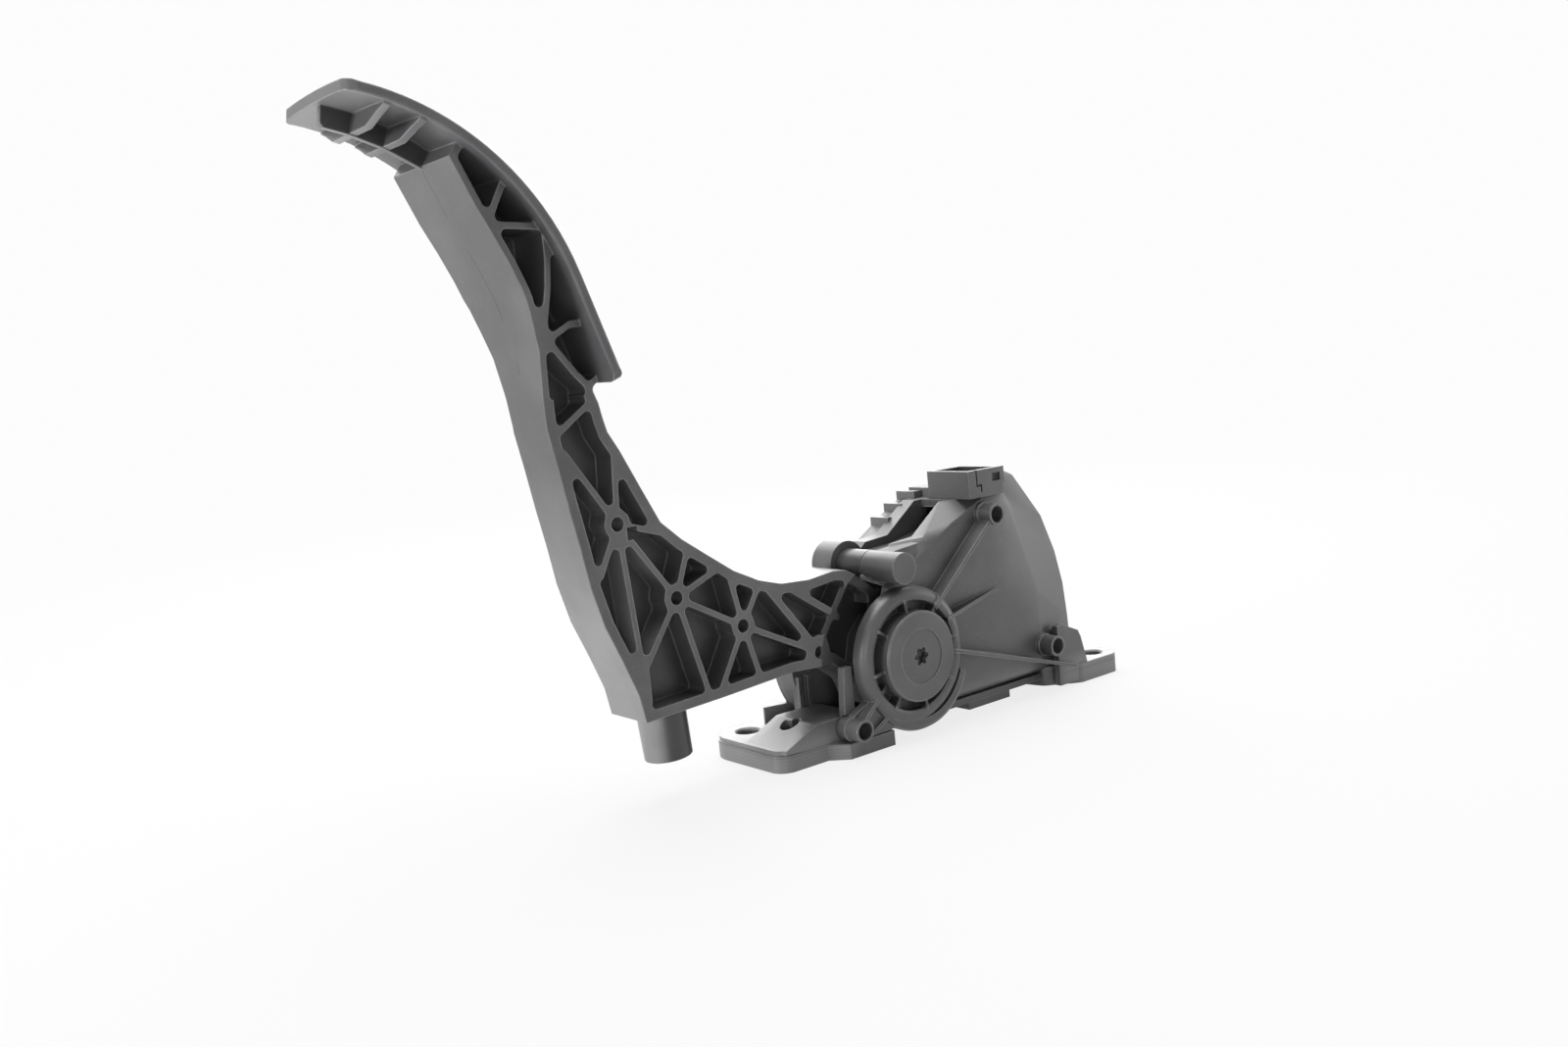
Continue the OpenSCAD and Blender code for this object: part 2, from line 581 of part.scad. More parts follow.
module housing() {
    color([0.2, 0.2, 0.21]) placed() difference() {
        union() {
            base();
            difference() {
                slab(part_y + seat, far_wall_y) shell_outline();
                slab(part_y - 1, chamber_far_y) chamber_outline();
                // Channel that is open at the top, over the friction lever
                slab(part_y - 1, channel_far_y) polygon([[-12, 21.5], [-12, 60], [30, 60],
                    [30, plug_seat_z - 2.2], [25, 36], [14, 29], [5, 24]]);
            }
            // Skirt of the far channel wall
            slab(channel_far_y, far_wall_y) difference() {
                intersection() {
                    shell_outline();
                    translate([-20, 0]) square([52, 60]);
                }
                circle(r = drum_r + 2.2);
                polygon([[4, 21], [32, 21], [32, 31.4], [16, 27.6], [4, 24.4]]);
            }
            // Far wall round the hub, and the walls of the sensor's compartment
            slab(chamber_far_y, pot_y) pot_outline();
            // Two upright ribs in the far side of the arm's window
            for (x = [-25, -21.6])
                slab(chamber_far_y - 1.2, far_wall_y) translate([x, low_z + 1]) square([1.6, 15]);
            // Pillar beside the arm, under the ring boss
            slab(front_y + 1, arm_near_y - 0.5)
                polygon([[-25, -13.2], [-21, -13.2], [-21, 0.5], [-24, 0.5]]);
            slab(9.8, arm_near_y - 0.5) translate([-24.8, -15]) square([3.8, 4]);
            // Far boss of the friction lever's pin, with a groove near its end
            rod(lever_pin_at, channel_far_y, pot_y - 1.6, 7);
        }
        // Inside of the sensor's compartment, and the way in for its contacts
        difference() {
            slab(far_wall_y, 60) offset(delta = -2) pot_outline();
            for (p = board_posts) rod(p, far_wall_y - 1, board_y - seat, 2.2);
            rod(lever_pin_at, channel_far_y, pot_y - 1.6, 7);
        }
        slab(pot_y, 60) offset(delta = 0.3) pot_outline();
        slab(far_wall_y, pot_y + 1) translate([34, 30]) square([9.6, 20]);
        // Seat of the side cover
        translate([0, -0.05, 0]) cover_form(0, front_y, part_y + 0.06);
        // Room for the drum and the neck of the arm
        slab(part_y, arm_far_y) circle(r = drum_r + gap);
        slab(part_y, arm_far_y)
            polygon([[-14, 15], [-14, 24.9], [-10.5, 25.1], [-5, 20.9], [-5, 15]]);
        // Bearing seat and the pin's bore
        rod([0, 0], 20, far_wall_y + 1, shaft_r + 2 + seat);
        rod(lever_pin_at, 10, far_wall_y + 2, pin_r + seat);
        for (p = [screw_low, screw_right, screw_top])
            rod(p, 5, 22, screw_core_r - 0.1);
        rod(screw_low, base_near_y - 1, cover_back_y + 0.02, tube_r + 0.4);
        // Bolt holes, the hole in the ramp, and the room for the arm's swing
        for (p = [[front_x, front_y_at], [rear_x, rear_y_at]])
            translate([p[0], p[1], -pivot_z - 1]) {
                cylinder(h = foot_t + 12, r = bolt_r);
                translate([0, 0, foot_t + 1]) cylinder(h = 20, r = bolt_r + 3.4);
                translate([0, 0, foot_t + 0.4]) cylinder(h = 0.61, r1 = bolt_r, r2 = bolt_r + 0.6);
            }
        translate([front_x + 2.6, front_y_at - 18, -pivot_z - 1]) difference() {
            cylinder(h = 30, r = 3.1);
            translate([0.8, 0.4, 0]) cube([5, 5, 30]);
        }
    }
}

cover_back_y = front_y + wall;
screw_core_r = 1.4;
board_y = pot_y - 1.45;
board_posts = [[-14, 14], [14, -16], [40, 32], [40, 2]];

// Outer or inner form of the cover: the flat front falls away to the parting line
module cover_form(shrink, y0, y1) {
    intersection() {
        hull() {
            slab(y0, y0 + 0.1) offset(delta = -shrink - 2.2) polygon(front_outline);
            slab(y0 + 0.7, y0 + 0.8) offset(delta = -shrink) polygon(front_outline);
            slab(part_y - 1.2, part_y - 1.1) offset(delta = -shrink - 0.7) polygon(part_outline);
            slab(y1 - 0.1, y1) offset(delta = -shrink) polygon(part_outline);
        }
        slab(y0 - 1, y1 + 1) offset(delta = -shrink) union() {
            polygon(part_outline);
            polygon(front_outline);
        }
    }
}

// What is cut away below the cover's lower body, which curves under to the parting line
module under_curve() {
    rotate([90, 0, 90]) translate([0, 0, -60]) linear_extrude(180)
        polygon([[front_y - 2, -13], [front_y - 0.1, -13], [front_y + 0.5, -14.9],
            [front_y + 1.55, -16.75], [front_y + 2.6, -18], [front_y + 4.4, -19.4],
            [front_y + 6.2, -20.2], [part_y + 0.1, low_z - 0.1], [part_y + 0.1, -30],
            [front_y - 2, -30]]);
}

// Straight rib on the cover from p to q, from height y0 at p to y1 at q
module cover_rib(p, q, yp, yq) {
    dir = q - p;
    a = atan2(dir[1], dir[0]);
    l = norm(dir);
    translate([p[0], 0, p[1]]) rotate([0, -a, 0])
        translate([0, 0, -cover_rib_t / 2]) linear_extrude(cover_rib_t)
            polygon([[0, yp], [l, yq], [l, front_y + 0.5], [0, front_y + 0.5]]);
}

module hub_boss() {
    rotate([90, 0, 0]) mirror([0, 0, 1]) rotate_extrude($fn = 96)
        polygon([[2, 0], [hub_r - 0.5, 0], [hub_r, 0.5], [hub_r, 6.4], [groove_r, 6.4],
            [groove_r, 3.1], [groove_r + 0.8, 2.7], [ring_r - 2.2, 2.8],
            [ring_r - 0.9, 3.3], [ring_r - 0.2, 4.2], [ring_r, 5.4],
            [ring_r, front_y + 0.6], [groove_r + 1, cover_back_y - 0.3],
            [2, cover_back_y - 0.3]]);
    // The boss widens downwards and curves under the cover
    translate([flare_at[0], 0, flare_at[1]]) rotate([90, 0, 0]) mirror([0, 0, 1])
        rotate([0, 0, -150]) rotate_extrude(angle = 130, $fn = 96)
            polygon([[groove_r + 1, 3.5], [ring_r - 1.2, 3.4], [ring_r, 4.1],
                [ring_r + 0.6, 5.4], [ring_r + 0.6, 8.4], [ring_r, 10.4], [ring_r - 1.2, 12],
                [ring_r - 2.6, 12], [ring_r - 2.6, 8.8], [groove_r + 1, 8.8]]);
    for (i = [0 : groove_webs - 1]) {
        a = 10 + i * 360 / groove_webs;
        dir = [cos(a), sin(a)];
        slab(2.4, 6.6) bar((hub_r - 0.4) * dir, (groove_r + 0.4) * dir, 0.9);
    }
}

module side_cover() {
    color([0.21, 0.21, 0.22]) placed() difference() {
        union() {
            difference() {
                cover_form(0, front_y, part_y);
                cover_form(wall, cover_back_y, part_y + 1);
                // Open towards the arm
                slab(cover_back_y, part_y + 1) arm_window();
                under_curve();
            }
            hub_boss();
            for (p = [screw_low, screw_right, screw_top]) {
                rod(p, 0.9, cover_back_y, tube_r);
                rod(p, 6, cover_back_y - seat, tube_r + 0.4);
            }
            cover_rib([9, 12.5], screw_top, 2, 1.8);
            cover_rib([14, 8.2], [43, 12.7], 2.2, front_y);
            cover_rib([15, -1.6], [62, -15.6], 2.2, 3.6);
            slab(3.6, base_near_y - 0.03) bar([61, -15.3], [73, -18.9], cover_rib_t);
            cover_rib([-12, -7], [-23, -15.4], 3.4, 2);
            cover_rib([-7, -13.5], [-19, -20.4], 3.6, 4.4);
            slab(5.2, front_y + 0.8) polygon([[-15, -9], [-24, -13.4], [-26.6, -18],
                [-24, -20.8], [-10, -20.6], [0, -19]]);
            // Tube round the near end of the friction lever's pin
            rod(lever_pin_at, 0.9, part_y - seat, lever_hub_r);
            slab(front_y + 1, part_y - seat)
                polygon([[-6, 22.4], [4, 22.4], [10, 32], [-1.5, 31]]);
        }
        rod([0, 0], -1, 12, plug_r);
        rod(lever_pin_at, 3, 20, pin_r + seat);
        for (p = [screw_low, screw_right, screw_top]) {
            rod(p, 0, 7.4, tube_bore_r);
            rod(p, 0, 12, screw_core_r + 0.15);
        }
        // Room for the connector
        translate([plug_x - gap / 2, plug_y - seat, plug_seat_z]) cube([plug_l + gap, 20, 12]);
    }
}

// Three screws with round heads, deep in the cover's tubes
module cover_screws() {
    color([0.3, 0.3, 0.32]) placed() for (p = [screw_low, screw_right, screw_top])
        difference() {
            union() {
                rod(p, 5.4, 7.4 - seat, 2.4);
                rod(p, 7.3, 20, screw_core_r - 0.12);
            }
            rod(p, 5, 6.4, 1);
        }
}

lever_near_y = part_y + gap;
lever_far_y = channel_far_y - gap;

// Moulded lever on its pin: the springs press it down on the hub's drum
module friction_lever() {
    color([0.12, 0.12, 0.13]) placed() difference() {
        union() {
            rod(lever_pin_at, lever_near_y, lever_far_y, lever_hub_r);
            slab(lever_near_y, lever_far_y) polygon([
                [-3, 31], [5, 30], [15, 30.6], [28, 33.2], [spring_x + 8, 33.2],
                [spring_x + 8, 30.4], [33, 28.6], [20, 26.6], [12, 23], [6, 21.8], [-3, 22.4]]);
            translate([spring_x, arm_mid_y, spring_high_z + seat])
                cylinder(h = 2.6, r = outer_coil_d / 2 + 0.8);
            translate([spring_x, arm_mid_y, spring_high_z - 3])
                cylinder(h = 4, r = inner_coil_d / 2 - inner_wire_d - 0.3);
        }
        rod(lever_pin_at, 10, 30, pin_r + seat);
        slab(0, 40) circle(r = drum_r + 2.1);
    }
}

// Curved lining under the lever, facing the drum
module friction_lining() {
    color([0.36, 0.3, 0.24]) placed() slab(lever_near_y + 0.4, lever_far_y - 0.4)
        difference() {
            intersection() {
                circle(r = drum_r + 2.1 - seat);
                polygon([[0, 0], [4.2, 40], [24, 40]]);
            }
            circle(r = drum_r + gap);
        }
}

module lever_pin() {
    color([0.62, 0.63, 0.65]) placed() rod(lever_pin_at, 3 + seat, far_wall_y + 2 - seat, pin_r);
}

// Rubber stop that the arm's tail rests on when the pedal is released
module idle_stop() {
    slope = 4.6 / 22;
    x0 = spring_x - 4;
    x1 = spring_x + 5;
    color([0.07, 0.07, 0.07]) placed() slab(arm_mid_y - 4, arm_mid_y + 4) polygon([
        [x0, low_z + wall + seat], [x1, low_z + wall + seat],
        [x1, -9.15 + slope * (x1 - 30)], [x0, -9.15 + slope * (x0 - 30)]]);
}

rotor_y = ring_y + 0.7;

// Disc on the end of the shaft that carries the sensor's magnet
module sensor_rotor() {
    color([0.75, 0.72, 0.66]) placed() difference() {
        union() {
            rod([0, 0], rotor_y, rotor_y + 1.1, 11);
            rod([0, 0], rotor_y, rotor_y + 1.3, shaft_r + 1.6);
        }
        rod([0, 0], 20, 60, shaft_r + seat);
    }
}

module rotor_magnet() {
    color([0.25, 0.25, 0.27]) placed() difference() {
        rod([0, 0], rotor_y + 1.1 + seat, rotor_y + 1.7, 10.4);
        rod([0, 0], 20, 60, 7.6);
    }
}

module circuit_board() {
    color([0.1, 0.3, 0.18]) placed() difference() {
        slab(board_y, board_y + board_t) intersection() {
            offset(delta = -4) pot_outline();
            translate([-20, -21]) square([65, 58]);
        }
        for (p = board_posts) rod(p, 20, 60, 0.8);
    }
}

// Sensor chips soldered to the side of the board that faces the magnet
module sensor_chips() {
    color([0.06, 0.06, 0.06]) placed() {
        translate([14.5, board_y - 1.2 - seat, 12]) cube([7, 1.2, 7]);
        translate([26, board_y - 1.2 - seat, 12]) cube([5, 1.2, 4]);
        translate([14.5, board_y - 1.2 - seat, -6]) cube([4, 1.2, 3.2]);
        translate([27, board_y - 1.6 - seat, 22]) cube([3.2, 1.6, 1.6]);
    }
}

plug_x = 31.4;
pin_pitch = 2.6;
plug_y = 6;
function pin_x(i) = plug_x + plug_l / 2 + (i % (pin_count / 2) - (pin_count / 2 - 1) / 2) * pin_pitch;
function pin_row(i) = i < pin_count / 2 ? 0 : 1;
function pin_y(i) = plug_y + plug_w * (0.36 + 0.26 * pin_row(i));

// Connector block with its socket open at the top and a duct to the board
module connector_housing() {
    top = plug_seat_z + plug_h;
    duct_y1 = pot_y - 0.5;
    color([0.17, 0.17, 0.18]) placed() difference() {
        union() {
            translate([plug_x, plug_y, plug_seat_z + seat]) cube([plug_l, plug_w, plug_h]);
            translate([plug_x + plug_l / 2 - 4.7, plug_y + plug_w - 1, plug_seat_z + seat])
                cube([9.4, duct_y1 - plug_y - plug_w + 1, 3]);
            // Latch block at the near end, with its recess
            translate([plug_x + plug_l - 1, plug_y + 0.4, top - 5.2]) cube([2.4, 4, 5.2]);
        }
        // Socket
        translate([plug_x + 1.7, plug_y + 1.7, plug_seat_z + 2.2])
            cube([plug_l - 3.4, plug_w - 3.4, 12]);
        // Duct of the contact strips
        translate([plug_x + plug_l / 2 - 3.7, plug_y + 3, plug_seat_z + 0.6])
            cube([7.4, board_y - plug_y - 3, 1.2]);
        for (i = [0 : pin_count - 1])
            translate([pin_x(i) - 0.4, pin_y(i) - 0.4, plug_seat_z + 0.5]) cube([0.8, 0.8, 3]);
        translate([plug_x + plug_l / 2 - 3.7, board_y - 1.4, plug_seat_z - 1]) cube([7.4, 1.4, 2.5]);
        // Stepped slit and the recess beside it in the near face
        translate([plug_x + 3.2, plug_y - 1, top - 4.6]) cube([0.7, 2.2, 5]);
        translate([plug_x + 3.2, plug_y - 1, top - 5.2]) cube([2.6, 2.2, 0.7]);
        translate([plug_x + 5.1, plug_y - 1, top - 7]) cube([0.8, 2.2, 2.4]);
        translate([plug_x + plug_l - 4.6, plug_y - 1, top - 4.2]) cube([3.8, 2.4, 2.6]);
    }
}

// Flat contact strips: up in the socket, along the duct and down to the board
module connector_pins() {
    w = 0.6;
    z0 = plug_seat_z + 0.9;
    color([0.8, 0.66, 0.35]) placed() for (i = [0 : pin_count - 1]) {
        x = pin_x(i) - w / 2;
        translate([x, pin_y(i) - w / 2, z0]) cube([w, w, plug_h - 3]);
        if (pin_row(i) == 0) {
            translate([x, pin_y(i) - w / 2, z0]) cube([w, board_y - seat - pin_y(i) + w / 2, w]);
            translate([x, board_y - seat - w, 34.8]) cube([w, w, z0 + w - 34.8]);
        }
    }
}

// Lid of the sensor's compartment, with stepped clips over the top edge
module sensor_cover() {
    color([0.19, 0.19, 0.2]) placed() {
        slab(pot_y + seat, pot_y + lid_t) union() {
            pot_outline();
            lid_clips();
        }
        difference() {
            slab(clip_y, pot_y + lid_t - 0.3) difference() {
                lid_clips();
                translate([0, 0.05]) pot_outline();
            }
            slab(clip_y - 1, far_wall_y + 0.05) translate([0, 0.05]) shell_outline();
        }
    }
}

clip_y = 30;

// Stepped clips over the top edge of the compartment
module lid_clips() {
    for (clip = [[18.4, 23.6, 37.6], [24.6, 29.6, 41.2], [30.6, 33.8, 44.4]])
        polygon([[clip[0], clip[2]], [clip[1], clip[2]], [clip[1], clip[2] - 6],
            [clip[0], clip[2] - 6]]);
}

module sensor_seal() {
    color([0.08, 0.08, 0.09]) placed() difference() {
        slab(pot_y - 1.4, pot_y - seat) offset(delta = -2.08) pot_outline();
        slab(20, pot_y + 1) offset(delta = -3.7) pot_outline();
    }
}

housing();
side_cover();
cover_screws();
near_bearing();
far_bearing();
pedal_arm();
pivot_shaft();
thrust_washers();
retaining_ring();
outer_spring();
inner_spring();
friction_lever();
friction_lining();
lever_pin();
idle_stop();
sensor_rotor();
rotor_magnet();
circuit_board();
sensor_chips();
sensor_cover();
sensor_seal();
connector_housing();
connector_pins();
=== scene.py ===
import json
import math

import bmesh
import bpy
from mathutils import Matrix, Vector


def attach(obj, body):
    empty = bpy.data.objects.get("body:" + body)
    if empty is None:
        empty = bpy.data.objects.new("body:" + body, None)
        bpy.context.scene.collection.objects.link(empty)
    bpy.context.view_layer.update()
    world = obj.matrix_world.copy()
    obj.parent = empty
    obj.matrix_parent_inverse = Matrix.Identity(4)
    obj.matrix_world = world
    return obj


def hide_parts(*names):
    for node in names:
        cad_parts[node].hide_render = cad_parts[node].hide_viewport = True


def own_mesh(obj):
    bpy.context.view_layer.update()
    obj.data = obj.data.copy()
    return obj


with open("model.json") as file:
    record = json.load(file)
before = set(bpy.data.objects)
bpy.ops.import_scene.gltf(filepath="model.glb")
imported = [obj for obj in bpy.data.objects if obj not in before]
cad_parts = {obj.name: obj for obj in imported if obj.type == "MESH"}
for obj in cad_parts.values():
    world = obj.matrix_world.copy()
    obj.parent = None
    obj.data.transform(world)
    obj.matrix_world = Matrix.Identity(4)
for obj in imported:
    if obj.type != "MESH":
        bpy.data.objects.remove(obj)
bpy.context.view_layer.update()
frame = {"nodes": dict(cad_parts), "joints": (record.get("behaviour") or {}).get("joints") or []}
nodes = frame["nodes"]
pivot = Vector(frame["joints"][0]["pos_m"])

# Housing with its two feet, one moulding in glass-filled plastic.
# Its steel mould was spark eroded, so the surface has a fine satin grain,
# and every corner has a small radius from the mould.


def feed(tree, socket, source):
    """Links a socket to an output of another node, or gives it a fixed value"""
    if isinstance(source, bpy.types.NodeSocket):
        tree.links.new(source, socket)
    else:
        socket.default_value = source


def add(tree, kind, inputs=None, **settings):
    """Adds a shader node with its settings, and feeds its inputs"""
    node = tree.nodes.new("ShaderNode" + kind)
    for name, value in settings.items():
        setattr(node, name, value)
    for name, source in (inputs or {}).items():
        feed(tree, node.inputs[name], source)
    return node


def grey(tone):
    return (tone, tone, tone, 1)


def calculate(tree, operation, *terms):
    """Result of one step of arithmetic on masks and numbers"""
    return add(tree, "Math", dict(enumerate(terms)), operation=operation).outputs["Value"]


def vector_math(tree, operation, *terms):
    """Result of one step of arithmetic on vectors, which is a number for some of the steps"""
    step = add(tree, "VectorMath", dict(enumerate(terms)), operation=operation)
    return step.outputs["Value" if operation in ("DOT_PRODUCT", "LENGTH") else "Vector"]


def all_of(tree, mask, *others):
    """Mask of the spots where all the masks meet"""
    for other in others:
        mask = calculate(tree, "MULTIPLY", mask, other)
    return mask


def any_of(tree, mask, *others):
    """Mask of the spots where at least one of the masks is"""
    for other in others:
        mask = calculate(tree, "MAXIMUM", mask, other)
    return mask


def within(tree, value, centre, reach):
    """Sharp mask of the spots whose value is at most reach away from the centre"""
    return calculate(tree, "COMPARE", value, centre, reach)


def ramp(tree, value, start, end, low=0, high=1):
    """Goes from low to high while the value goes from start to end, and stays there"""
    ends = {"From Min": start, "From Max": end, "To Min": low, "To Max": high}
    return add(tree, "MapRange", {"Value": value, **ends}).outputs["Result"]


def spot(tree):
    """Place of the spot that is shaded, in the object's own coordinates"""
    return add(tree, "TexCoord").outputs["Object"]


def normal(tree):
    """Direction that the surface faces at the spot"""
    return add(tree, "NewGeometry").outputs["Normal"]


def by_axis(tree, vector):
    return add(tree, "SeparateXYZ", {"Vector": vector}).outputs


def noise(tree, vector, scale, detail=2, roughness=0.5):
    values = {"Scale": scale, "Detail": detail, "Roughness": roughness}
    return add(tree, "TexNoise", {"Vector": vector, **values}).outputs["Fac"]


def blend(tree, mask, base, tint, kind="MIX"):
    """The base colour, and by the mask the tint or, as MULTIPLY, the base times the tint"""
    colours = {"Factor": mask, "A": base, "B": tint}
    return add(tree, "Mix", colours, data_type="RGBA", blend_type=kind).outputs["Result"]


def shared_effect(name, inputs):
    """Node group that gives a colour, a roughness and a normal, with its given and result sockets"""
    group = bpy.data.node_groups.new(name, "ShaderNodeTree")
    results = {"Color": "Color", "Roughness": "Float", "Normal": "Vector"}
    for direction, sockets in (("INPUT", inputs), ("OUTPUT", results)):
        for socket, kind in sockets.items():
            group.interface.new_socket(socket, in_out=direction, socket_type="NodeSocket" + kind)
    given = group.nodes.new("NodeGroupInput").outputs
    results = group.nodes.new("NodeGroupOutput").inputs
    return group, given, results


# Milky bloom, dust, rubbed corners with a painted edge highlight, and painted shade in the pockets, that
# all the dark mouldings share
bloom_and_painted_light, given, results = shared_effect(
    "moulding bloom and painted light",
    {
        "Vector": "Vector",
        "Plastic": "Color",
        "Roughness": "Float",
        "Grain depth": "Float",
        "Corner radius": "Float",
    },
)

# Large soft clouds of bloom, and fine specks of dust
clouds = noise(bloom_and_painted_light, given["Vector"], scale=38, detail=5, roughness=0.6)
cloudy = ramp(bloom_and_painted_light, clouds, start=0.42, end=0.72)
specks = noise(bloom_and_painted_light, given["Vector"], scale=1500)
specked = ramp(bloom_and_painted_light, specks, start=0.64, end=0.8)

# Corners painted a little paler than the faces, partly rubbed wear and partly a painted highlight along
# the edges
corner = add(bloom_and_painted_light, "Bevel", {"Radius": given["Corner radius"]}, samples=6)
straightness = vector_math(bloom_and_painted_light, "DOT_PRODUCT", corner.outputs["Normal"], normal(bloom_and_painted_light))
at_corner = ramp(bloom_and_painted_light, straightness, start=0.995, end=0.86)
edge_patches = noise(bloom_and_painted_light, given["Vector"], scale=210, detail=4)
wear_and_edge_highlight = all_of(bloom_and_painted_light, at_corner, edge_patches)

# Painted shade in the pockets between the ribs, darker where the surroundings close in
open_sky = add(bloom_and_painted_light, "AmbientOcclusion", {"Distance": 0.025}, samples=8, only_local=True)
painted_pocket_shade = ramp(bloom_and_painted_light, open_sky.outputs["AO"], start=0.8, end=0.4)

dust_cover = 0.3
colour = blend(bloom_and_painted_light, cloudy, given["Plastic"], (1.5, 1.49, 1.48, 1), "MULTIPLY")
colour = blend(bloom_and_painted_light, all_of(bloom_and_painted_light, specked, dust_cover), colour, grey(0.2))
# Paler corners: rubbed wear and a painted edge highlight
colour = blend(bloom_and_painted_light, wear_and_edge_highlight, colour, (0.26, 0.26, 0.265, 1))
# Painted shade in the pockets
colour = blend(bloom_and_painted_light, painted_pocket_shade, colour, grey(0.8), "MULTIPLY")
feed(bloom_and_painted_light, results["Color"], colour)

# Roughness drifts with the clouds
cloud_roughness = 0.1
roughness = calculate(bloom_and_painted_light, "MULTIPLY_ADD", cloudy, cloud_roughness, given["Roughness"])
feed(bloom_and_painted_light, results["Roughness"], roughness)

# Spark-eroded grain of the mould, on top of the rounded corners
swell_height = 2.5
grain = noise(bloom_and_painted_light, given["Vector"], scale=2600, detail=3)
swell = noise(bloom_and_painted_light, given["Vector"], scale=120)
bump = add(
    bloom_and_painted_light,
    "Bump",
    {
        "Distance": 0.00006,
        "Strength": given["Grain depth"],
        "Height": calculate(bloom_and_painted_light, "MULTIPLY_ADD", swell, swell_height, grain),
        "Normal": corner.outputs["Normal"],
    },
)
feed(bloom_and_painted_light, results["Normal"], bump.outputs["Normal"])


def finish_from(effect, name, effect_values, shader_values):
    """Material that takes its colour, roughness and normal from a shared effect"""
    material = bpy.data.materials.new(name)
    material.use_nodes = True
    tree = material.node_tree
    look = add(tree, "Group", {"Vector": spot(tree), **effect_values}, node_tree=effect).outputs
    sources = {
        "Base Color": look["Color"],
        "Roughness": look["Roughness"],
        "Normal": look["Normal"],
        **shader_values,
    }
    for socket, source in sources.items():
        feed(tree, tree.nodes["Principled BSDF"].inputs[socket], source)
    return material


def moulding(name, plastic, roughness, grain, radius):
    """Satin plastic of one of the mouldings"""
    effect_values = {
        "Plastic": (*plastic, 1),
        "Roughness": roughness,
        "Grain depth": grain,
        "Corner radius": radius,
    }
    return finish_from(bloom_and_painted_light, name, effect_values, {"IOR": 1.5})


def opened(material):
    """A material's tree, and the output that its colour comes from"""
    tree = material.node_tree
    return tree, tree.nodes["Principled BSDF"].inputs["Base Color"].links[0].from_socket


def repaint(tree, colour):
    """Gives the shader in a material's tree another colour"""
    feed(tree, tree.nodes["Principled BSDF"].inputs["Base Color"], colour)


def dress(node, material, crease=32):
    """Gives a frame node its material, and smooths it between its real edges"""
    piece = nodes[node]
    piece.data.materials.clear()
    piece.data.materials.append(material)
    piece.data.polygons.foreach_set("use_smooth", [True] * len(piece.data.polygons))
    weld = piece.modifiers.new("weld", "WELD")
    weld.merge_threshold = 1e-6
    split = piece.modifiers.new("edges", "EDGE_SPLIT")
    split.split_angle = math.radians(crease)


black_plastic = (0.052, 0.052, 0.054)
housing_plastic = moulding("housing plastic", black_plastic, roughness=0.36, grain=0.5, radius=0.0005)
tree, colour = opened(housing_plastic)
place = by_axis(tree, spot(tree))
facing = by_axis(tree, normal(tree))

# Feet painted paler than the walls above them, as painted light thrown up from the bright floor. On the
# far side of the front foot the painted light reaches higher, up the low wall there.
front_foot = ramp(tree, place["X"], start=0.017, end=0.011)
rear_foot = ramp(tree, place["X"], start=0.104, end=0.108)
on_feet = any_of(tree, front_foot, rear_foot)
low_wall = ramp(tree, place["Y"], start=-0.0125, end=-0.0105, high=0.006)
height = calculate(tree, "SUBTRACT", place["Z"], low_wall)
feet_floor_light = ramp(tree, height, start=0.011, end=0.0068, high=0.75)
colour = blend(tree, all_of(tree, on_feet, feet_floor_light), colour, grey(0.14))

# Witness lines of the mould round the feet's sides, two sharp and three faint
steep = within(tree, facing["Z"], centre=0, reach=0.5)
for level, half_width, tone in (
    (0.0049, 0.0001, 0.45),
    (0.0043, 0.00008, 0.5),
    (0.0032, 0.00006, 0.75),
    (0.0022, 0.00006, 0.75),
    (0.0012, 0.00006, 0.75),
):
    at_level = within(tree, place["Z"], centre=level, reach=half_width)
    colour = blend(tree, all_of(tree, at_level, steep, on_feet), colour, grey(tone), "MULTIPLY")
repaint(tree, colour)
dress("housing", housing_plastic)

# Side cover with its hub ring and screw tubes, moulded in the same plastic.
# It closes the housing's near side, and three screws hold it.
cover_black = (0.048, 0.048, 0.05)
cover_plastic = moulding("cover plastic", cover_black, roughness=0.36, grain=0.5, radius=0.0005)

# Painted shade in the groove round the hub, which is darkened there
tree, colour = opened(cover_plastic)
off_pivot = vector_math(tree, "SUBTRACT", spot(tree), pivot)
off_axis = vector_math(tree, "MULTIPLY", off_pivot, (1, 0, 1))
radius = vector_math(tree, "LENGTH", off_axis)
painted_groove_shade = within(tree, radius, centre=0.01505, reach=0.00135)
repaint(tree, blend(tree, painted_groove_shade, colour, grey(0.4), "MULTIPLY"))
dress("side_cover", cover_plastic)

# Plug in the middle of the hub, turned or moulded true, since the shaft runs in it.
# It is pushed into the cover, and its star-shaped hole takes the tool.
plug_black = (0.044, 0.044, 0.046)
dress("near_bearing", moulding("plug plastic", plug_black, roughness=0.38, grain=0.35, radius=0.0003))

# Pedal arm with its foot pad and heel peg, one moulding in glass-filled plastic.
# Its long faces are polished a little smoother by hands and shoes than the housing's.
arm_plastic = moulding("arm plastic", black_plastic, roughness=0.31, grain=0.5, radius=0.0006)
tree, colour = opened(arm_plastic)
place = by_axis(tree, spot(tree))
facing = by_axis(tree, normal(tree))

# Painted shade on the floors of the pockets between the ribs, which are darker than the rims
near_web = within(tree, place["Y"], centre=pivot.y, reach=0.0085)
sideways = ramp(tree, calculate(tree, "ABSOLUTE", facing["Y"]), start=0.6, end=0.9)
colour = blend(tree, all_of(tree, near_web, sideways), colour, grey(0.42), "MULTIPLY")

